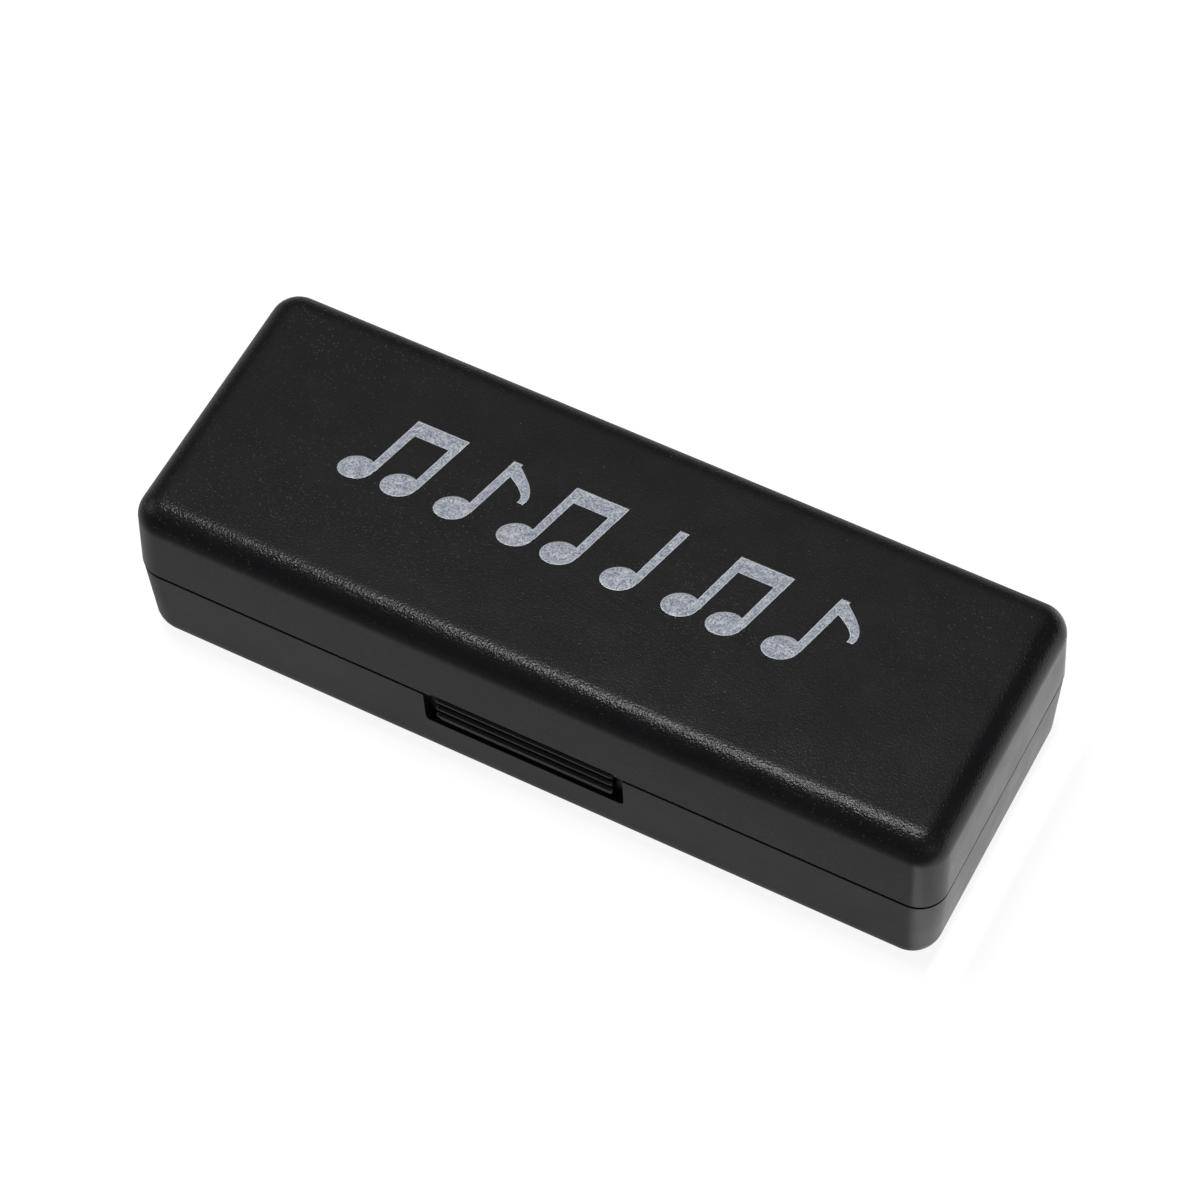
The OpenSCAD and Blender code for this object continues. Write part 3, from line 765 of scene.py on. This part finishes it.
def velvet_pad():
    """Velvet-covered foam pad under the lid."""
    low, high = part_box("lid_pad")
    length, width, thick = high.x - low.x, high.y - low.y, high.z - low.z
    columns, rows = 104, 30
    start_t = 0.62 * thick
    edge = 1.1 * MM

    def side_drop(x, y):
        """How far the front sheet is rounded back near the pad's edge, from 0 inside to 1 at the edge."""
        from_edge = min(length / 2 - abs(x), width / 2 - abs(y))
        t = max(0.0, 1 - from_edge / edge)
        return 1 - math.sqrt(max(0.0, 1 - t * t))

    bm = bmesh.new()
    front, back = {}, {}
    for i in range(columns + 1):
        for j in range(rows + 1):
            u, v = i / columns - 0.5, j / rows - 0.5
            x, y = u * (length - 0.4 * MM), v * (width - 0.4 * MM)
            z = high.z - start_t * (1 - 0.55 * side_drop(x, y))
            front[i, j] = bm.verts.new((x, y, z))
            border = i in (0, columns) or j in (0, rows)
            back[i, j] = bm.verts.new((x, y, high.z - (0.25 * MM if border else 0.1 * MM)))
    for i in range(columns):
        for j in range(rows):
            bm.faces.new((front[i, j], front[i + 1, j], front[i + 1, j + 1], front[i, j + 1]))
            bm.faces.new((back[i, j], back[i, j + 1], back[i + 1, j + 1], back[i + 1, j]))
    for i in range(columns):
        for j in (0, rows):
            bm.faces.new((front[i, j], front[i + 1, j], back[i + 1, j], back[i, j]))
    for j in range(rows):
        for i in (0, columns):
            bm.faces.new((front[i, j], front[i, j + 1], back[i, j + 1], back[i, j]))
    pad = mesh_object("velvet_pad", bm)
    blow_up(pad, high.z)
    for vert in pad.data.vertices:
        vert.co.z = max(vert.co.z, low.z + 0.05 * MM)
        vert.co.z = min(vert.co.z, high.z - 0.02 * MM)
    subdivide = pad.modifiers.new("subdivide", "SUBSURF")
    subdivide.levels = subdivide.render_levels = 1
    settle(pad)
    shade(pad, 80)
    finish_piece(pad, "lid", "pad_lining", pad_flock, "lid_pad")


def blow_up(pad, glued_z):
    """Cloth simulation of the pad's cover: the glued side is pinned, and pressure crowns the rest.

    The pad is simulated at scale times its size, and no point moves further than cap.
    """
    scale = 10
    cap = 0.5 * MM
    last_step = 16
    rest = [vert.co.copy() for vert in pad.data.vertices]
    pad.data.transform(Matrix.Scale(scale, 4))
    pins = pad.vertex_groups.new(name="glued")
    for index, place in enumerate(rest):
        if place.z > glued_z - 0.3 * MM:
            pins.add([index], 1.0, "REPLACE")
    cloth = pad.modifiers.new("cloth", "CLOTH")
    settings = cloth.settings
    settings.quality = 6
    settings.mass = 0.15
    settings.tension_stiffness = settings.compression_stiffness = 12
    settings.bending_stiffness = 0.6
    settings.use_pressure = True
    settings.uniform_pressure_force = 3
    settings.vertex_group_mass = "glued"
    settings.shrink_min = -0.02
    settings.effector_weights.gravity = 0
    cloth.collision_settings.use_collision = False
    scene = bpy.context.scene
    for step in range(1, last_step + 1):
        scene.frame_set(step)
    settle(pad)
    scene.frame_set(1)
    pad.data.transform(Matrix.Scale(1 / scale, 4))
    for vert, place in zip(pad.data.vertices, rest):
        move = vert.co - place
        if move.length > cap:
            vert.co = place + move.normalized() * cap


# ---------------------------------------------------------------- harmonica

HOLES = 10
hole_pitch = 7.5 * MM
hole_w = 5.2 * MM


def hole_x(i):
    """Middle of hole i, counted from 0 at the left."""
    return (i - (HOLES - 1) / 2) * hole_pitch


def chamber_back(i):
    """The chamber ends just behind the riveted end of its blow reed."""
    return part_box(f"blow_reed_{i + 1:02d}")[1].y + 3.8 * MM


def comb_body():
    """Comb with ten chambers, its mouthpiece edges rounded for the lips."""
    left, right, front, back = comb_low.x, comb_high.x, comb_low.y, comb_high.y
    points, radii = [(left, back), (left, front)], [1.5 * MM, 2 * MM]
    for i in range(HOLES):
        x, end = hole_x(i), chamber_back(i)
        for px, py, r in ((-1, front, 0.45), (-1, end, 0.6), (1, end, 0.6), (1, front, 0.45)):
            points.append((x + px * hole_w / 2, py))
            radii.append(r * MM)
    points += [(right, front), (right, back)]
    radii += [2 * MM, 1.5 * MM]
    body = prism("comb_body", round_corners(points, radii, 4), comb_low.z, comb_high.z)
    bevel(body, 0.3 * MM, 3, 50)
    shade(body, 50)
    return finish_piece(body, "base", "comb_plastic", comb_plastic, "comb")


def smooth_step(t):
    """Smooth rise from 0 to 1 as t goes from 0 to 1."""
    t = min(1.0, max(0.0, t))
    return t * t * (3 - 2 * t)


def cover_line(height, sheet):
    """Middle line (y, z) of the cover's sheet from the front foot over the top to the open back."""
    front, rear = -12.0 * MM, 13.2 * MM
    half, top = sheet / 2, height - sheet / 2
    rise, drop, back = 6.5 * MM, 2.5 * MM, 1.1 * MM
    foot, foot_z = front + 1 * MM, half + 0.12 * MM
    rise_steps, flat_steps, drop_steps = 18, 17, 9
    line = [(front + half, half), (front + 0.75 * MM, half)]
    for i in range(rise_steps + 1):
        a = math.pi / 2 * i / rise_steps
        line.append((foot + rise * (1 - math.cos(a)), foot_z + (top - foot_z) * math.sin(a)))
    start, end = line[-1][0], rear - drop
    for i in range(1, flat_steps):
        line.append((start + (end - start) * i / flat_steps, top))
    for i in range(drop_steps + 1):
        a = math.radians(80) * i / drop_steps
        line.append((end + drop * math.sin(a), top - back * (1 - math.cos(a))))
    return line


def cover_shell(name, node, upward):
    """Pressed cover plate: domed middle, flat ends with a bolt hole, sunk panel on top and an open back."""
    low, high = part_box(node)
    sheet = 0.4 * MM
    height = high.z - low.z
    line = cover_line(height, sheet)
    half_l = high.x
    dome_end, flange_start = 41.2 * MM, 44.2 * MM
    # Rows of points lie closer together towards the flat ends
    stations = []
    x = 0.0
    while x < half_l - 0.01 * MM:
        stations.append(x)
        x += 1.2 * MM if x < 28 * MM else (0.7 * MM if x < 39.5 * MM else 0.25 * MM)
    stations.append(half_l)
    stations = [-x for x in reversed(stations[1:])] + stations
    flange_r, flange_half = 3 * MM, 11.5 * MM
    panel_half, panel_front, panel_back = 33 * MM, -2.6 * MM, 8.6 * MM
    panel_depth, panel_edge = 0.22 * MM, 0.8 * MM
    bolt_x, bolt_hole_r = 47 * MM, 1.2 * MM
    bm = bmesh.new()
    grid = []
    for x in stations:
        away = abs(x)
        dome = 1 - smooth_step((away - dome_end) / (flange_start - dome_end))
        into = max(0.0, away - (half_l - flange_r))
        reach = flange_half - (flange_r - math.sqrt(max(0.0, flange_r ** 2 - into ** 2)))
        column = []
        for y, z in line:
            share = (y - line[0][0]) / (line[-1][0] - line[0][0])
            flat_y = -reach + 2 * reach * share
            pulled = smooth_step((away - dome_end + 2 * MM) / (flange_start - dome_end + 2 * MM))
            py = y * (1 - pulled) + flat_y * pulled
            panel = (smooth_step((panel_half - away) / panel_edge)
                     * smooth_step((py - panel_front) / panel_edge)
                     * smooth_step((panel_back - py) / panel_edge))
            pz = sheet / 2 + (z - sheet / 2) * dome - panel_depth * panel
            pz = low.z + pz if upward else high.z - pz
            column.append(bm.verts.new((x, py, pz)))
        grid.append(column)
    for a, b in zip(grid, grid[1:]):
        for k in range(len(line) - 1):
            bm.faces.new((a[k], b[k], b[k + 1], a[k + 1]))
    cover = mesh_object(name, bm)
    thickness = cover.modifiers.new("sheet", "SOLIDIFY")
    thickness.thickness = sheet
    thickness.offset = 0
    settle(cover)
    below, above = low.z - 2 * MM, high.z + 2 * MM
    for side in (-1, 1):
        profile = [(0, below), (bolt_hole_r, below), (bolt_hole_r, above), (0, above)]
        carve(cover, lathe("hole", profile, (side * bolt_x, 0)))
    shade(cover, 40)
    return finish_piece(cover, "base", "cover_steel", cover_steel, node)


def cover_bolt_set():
    """Two slotted pan-head bolts."""
    low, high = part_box("cover_bolts")
    head_r, shank_r, tip_r = 2.0 * MM, 1.1 * MM, 0.9 * MM
    head_z = high.z - 1.2 * MM
    shoulder_z, crown_h, crown_steps = head_z + 0.45 * MM, 0.75 * MM, 7
    slot_half, slot_depth = 0.28 * MM, 0.55 * MM
    parts = []
    for side in (-1, 1):
        x = side * (high.x - head_r)
        profile = [(0, low.z), (tip_r, low.z), (shank_r, low.z + 0.2 * MM), (shank_r, head_z),
                   (head_r - 0.1 * MM, head_z), (head_r, head_z + 0.1 * MM), (head_r, shoulder_z)]
        for i in range(1, crown_steps):
            a = math.pi / 2 * i / crown_steps
            profile.append((head_r * math.cos(a), shoulder_z + crown_h * math.sin(a)))
        profile.append((0, shoulder_z + crown_h))
        bolt = lathe("bolt", profile, (x, 0))
        cut = block("slot", (x - 3 * MM, -slot_half, high.z - slot_depth),
                    (x + 3 * MM, slot_half, high.z + 1 * MM))
        cut.data.transform(Matrix.Translation((x, 0, 0)) @ Matrix.Rotation(math.radians(25 * side), 4, "Z")
                           @ Matrix.Translation((-x, 0, 0)))
        carve(bolt, cut)
        parts.append(bolt)
    bolts = shade(join("pan_head_bolts", parts), 30)
    return finish_piece(bolts, "base", "bolt_steel", bolt_steel, "cover_bolts")


def repaint_cad_nodes():
    """Materials of the CAD nodes that stay as they are."""
    finishes = {"hinge_pins": pin_steel, "upper_reed_plate": plate_brass, "lower_reed_plate": plate_brass,
                "blow_reed_pads": reed_brass, "draw_reed_pads": reed_brass, "blow_reed_rivets": rivet_brass,
                "draw_reed_rivets": rivet_brass, "cover_nuts": bolt_steel, "reed_plate_screws": screw_brass}
    for i in range(HOLES):
        finishes[f"blow_reed_{i + 1:02d}"] = finishes[f"draw_reed_{i + 1:02d}"] = reed_brass
    for name, obj in nodes.items():
        material = finishes.get(name)
        if material is None or obj.hide_render:
            continue
        if not obj.material_slots:
            obj.data.materials.append(material)
        for holder in obj.material_slots:
            holder.material = material


# ---------------------------------------------------------------- studio

def studio():
    """Floor that stays white to the camera and glows beside the case, an overhead softbox and dim panels."""
    floor = Paint("floor", Roughness=0.9, Specular_IOR_Level=0.1)
    floor.shader.inputs["Base Color"].default_value = (0.35, 0.35, 0.35, 1)
    # The floor glows beside the right end and along the front, and looks white to the camera
    seen = floor.tree.nodes.new("ShaderNodeLightPath")
    beside_end = floor.along("X", case_l / 2 - 4 * MM, case_l / 2)
    beyond_end = floor.along("X", case_l / 2 + 2 * MM, case_l / 2 + 9 * MM)
    right_end = floor.math("MULTIPLY", beside_end, floor.math("MULTIPLY_ADD", beyond_end, -0.55, 1))
    front = floor.along("Y", -case_w / 2 - 45 * MM, -case_w / 2 - 12 * MM)
    pool = floor.math("MULTIPLY", floor.math("MULTIPLY_ADD", right_end, 0.74, 0.24), front)
    white = floor.math("MULTIPLY_ADD", floor.away(0.12, 0.8), 0.11, 0.89)
    glow = floor.math("MAXIMUM", pool, floor.math("MULTIPLY", seen.outputs["Is Camera Ray"], white))
    floor.link(glow, floor.shader, "Emission Strength")
    floor.shader.inputs["Emission Color"].default_value = (1, 1, 1, 1)
    bm = bmesh.new()
    bmesh.ops.create_grid(bm, x_segments=1, y_segments=1, size=20)
    ground = mesh_object("floor", bm)
    ground.location.z = -0.02 * MM
    ground.data.materials.append(floor.material)

    world = bpy.data.worlds.new("room")
    bpy.context.scene.world = world
    world.use_nodes = True
    tree = world.node_tree
    room = tree.nodes["Background"]
    room.inputs["Color"].default_value = (0.9, 0.93, 1, 1)
    room.inputs["Strength"].default_value = 0.11
    backdrop = tree.nodes.new("ShaderNodeBackground")
    backdrop.inputs["Color"].default_value = (1, 1, 1, 1)
    backdrop.inputs["Strength"].default_value = 1
    seen = tree.nodes.new("ShaderNodeLightPath")
    mix = tree.nodes.new("ShaderNodeMixShader")
    tree.links.new(seen.outputs["Is Camera Ray"], mix.inputs["Fac"])
    tree.links.new(room.outputs["Background"], mix.inputs[1])
    tree.links.new(backdrop.outputs["Background"], mix.inputs[2])
    tree.links.new(mix.outputs["Shader"], tree.nodes["World Output"].inputs["Surface"])

    def softbox(name, place, size, radiance):
        """Area light of one radiance, turned to face the origin."""
        light = bpy.data.lights.new(name, "AREA")
        light.shape = "RECTANGLE"
        light.size, light.size_y = size
        light.energy = radiance * math.pi * size[0] * size[1]
        obj = bpy.data.objects.new(name, light)
        bpy.context.scene.collection.objects.link(obj)
        obj.location = place
        obj.rotation_euler = Vector(place).to_track_quat("Z", "Y").to_euler()

    softbox("overhead", (-0.085, 0.0, 0.72), (0.2, 0.2), 13)
    softbox("back_panel", (-0.34, 0.62, 1.05), (1.0, 0.7), 0.2)
    softbox("side_panel", (1.0, -0.5, 0.55), (0.8, 0.6), 0.35)
    softbox("left_panel", (-1.1, -0.3, 0.6), (0.8, 0.6), 0.8)


def camera():
    """Camera aimed beside the middle of the parting plane, with its azimuth counted from the front."""
    azimuth, elevation, roll = math.radians(29.05), math.radians(56.99), math.radians(-1.84)
    distance, aside, above = 565.1 * MM, 0.2 * MM, 1.525 * MM
    back = Vector((math.sin(azimuth) * math.cos(elevation), -math.cos(azimuth) * math.cos(elevation),
                   math.sin(elevation)))
    level = Vector((0, 0, 1)).cross(back).normalized()
    upright = back.cross(level)
    right = math.cos(roll) * level + math.sin(roll) * upright
    up = -math.sin(roll) * level + math.cos(roll) * upright
    data = bpy.data.cameras.new("camera")
    data.sensor_width = 36
    data.lens = 126.27
    data.clip_start = 0.01
    data.clip_end = 100
    obj = bpy.data.objects.new("camera", data)
    turn = Matrix((right, up, back)).transposed().to_4x4()
    aim = Vector((0, 0, parting_z)) + aside * right + above * up
    obj.matrix_world = Matrix.Translation(aim + distance * back) @ turn
    bpy.context.scene.collection.objects.link(obj)
    bpy.context.scene.camera = obj
    bpy.context.scene.view_settings.view_transform = "Standard"


camera()
studio()
lid_shell()
base_shell()
hinge_knuckles()
latch_grip()
note_inlay()
foam_bed()
velvet_pad()
comb_body()
cover_shell("cover_top", "upper_cover", True)
cover_shell("cover_bottom", "lower_cover", False)
cover_bolt_set()
repaint_cad_nodes()
